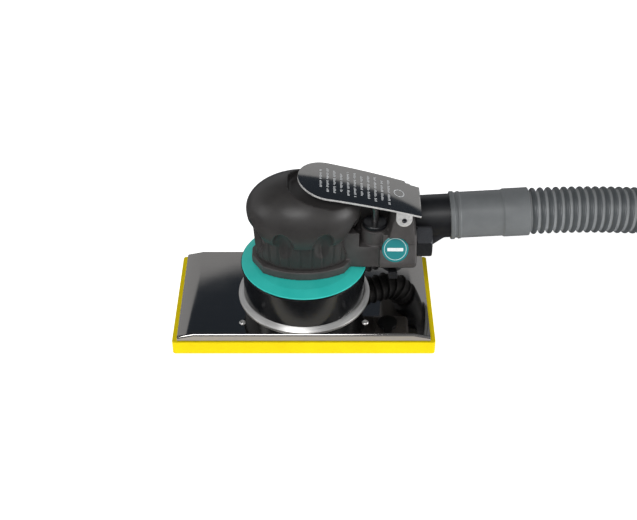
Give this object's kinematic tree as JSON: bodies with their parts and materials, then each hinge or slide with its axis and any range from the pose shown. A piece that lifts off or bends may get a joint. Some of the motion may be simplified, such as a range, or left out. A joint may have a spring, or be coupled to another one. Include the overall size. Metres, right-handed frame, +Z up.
{
  "type": "orbital sander",
  "caption": "Air-driven palm orbital sander with a rectangular foam pad, throttle lever, side air inlet and ribbed dust hose.",
  "frame": {"origin": "on the sanding face, under the motor axis", "axes": "+X towards the air inlet and hose, +Y away from the badge side, +Z up along the motor axis"},
  "size_m": [0.5642, 0.396, 0.1122],
  "materials": {
    "foam": "moulded yellow foam",
    "facing": "hook facing",
    "core": "glass-filled nylon",
    "polished_steel": "polished stainless sheet",
    "bright_steel": "turned steel",
    "dark_steel": "blackened steel",
    "alloy": "machined",
    "brass": "turned",
    "grip_rubber": "soft-touch moulding",
    "housing": "fine-textured composite",
    "skirt": "glossy",
    "ring": "moulded, satin",
    "badge": "printed disc",
    "chrome": "mirror",
    "black_rubber": "plain",
    "vane": "phenolic",
    "black_plastic": "satin",
    "hose": "ribbed, grey",
    "cuff": "soft moulded, grey"
  },
  "bodies": {
    "housing": {"lower_bearing": "bright_steel", "upper_bearing": "bright_steel", "lower_end_plate": "alloy", "upper_end_plate": "alloy", "cylinder_liner": "bright_steel", "motor_lock_ring": "alloy", "skirt": "skirt", "clamp_ring": "ring", "flange_screws": "dark_steel", "support_posts": "black_rubber", "motor_housing": "housing", "grip_cover": "grip_rubber", "badge": "badge", "lever_pin": "bright_steel", "valve_seat": "brass", "valve_bush": "brass", "stem_seal": "black_rubber", "valve_cap": "black_plastic", "valve_spring": "dark_steel", "inlet_bushing": "dark_steel", "inlet_screen": "bright_steel", "exhaust_duct": "black_plastic", "ejector_nozzle": "alloy", "exhaust_bellows": "black_rubber", "hose_cuff": "cuff", "dust_hose": "hose", "bag_connector": "cuff"},
    "lever": {"throttle_lever": "chrome"},
    "valve_stem": {"valve_stem": "dark_steel"},
    "speed_regulator": {"speed_regulator": "black_plastic"},
    "rotor": {"rotor": "bright_steel", "rotor_vanes": "vane", "eccentric_shaft": "bright_steel", "counterweight": "dark_steel", "spindle_snap_ring": "dark_steel", "spindle_bearing_low": "bright_steel", "spindle_bearing_high": "bright_steel"},
    "pad": {"spindle": "bright_steel", "spindle_washer": "bright_steel", "spindle_bolt": "dark_steel", "backing_plate": "polished_steel", "collar": "bright_steel", "pad_screws": "bright_steel", "post_screws": "dark_steel", "pad_core": "core", "foam_pad": "foam", "hook_facing": "facing"}
  },
  "joints": [
    {"name": "lever_press", "type": "hinge", "parent": "housing", "child": "lever", "pos_m": [0.065, 0, 0.088], "axis": [0, -1, 0], "range_deg": [0, 6], "stiffness_Nm_per_rad": 2},
    {"name": "stem_slide", "type": "slide", "parent": "housing", "child": "valve_stem", "axis": [0, 0, -1], "range_m": [0, 0.0019], "deforming": ["valve_spring"]},
    {"name": "speed_turn", "type": "hinge", "parent": "housing", "child": "speed_regulator", "pos_m": [0.0593, -0.002, 0.042], "axis": [0, 0, 1], "range_deg": [-35, 35]},
    {"name": "motor_spin", "type": "hinge", "parent": "housing", "child": "rotor", "pos_m": [0, 0, 0.045], "axis": [0, 0, 1], "continuous": true},
    {"name": "pad_orbit", "type": "hinge", "parent": "rotor", "child": "pad", "pos_m": [0, 0.00125, 0.032], "axis": [0, 0, 1], "continuous": true, "deforming": ["support_posts"]}
  ],
  "couplings": [
    {"joint": "stem_slide", "follows": "lever_press", "m_per_rad": 0.0177},
    {"joint": "pad_orbit", "follows": "motor_spin", "ratio": -1}
  ]
}
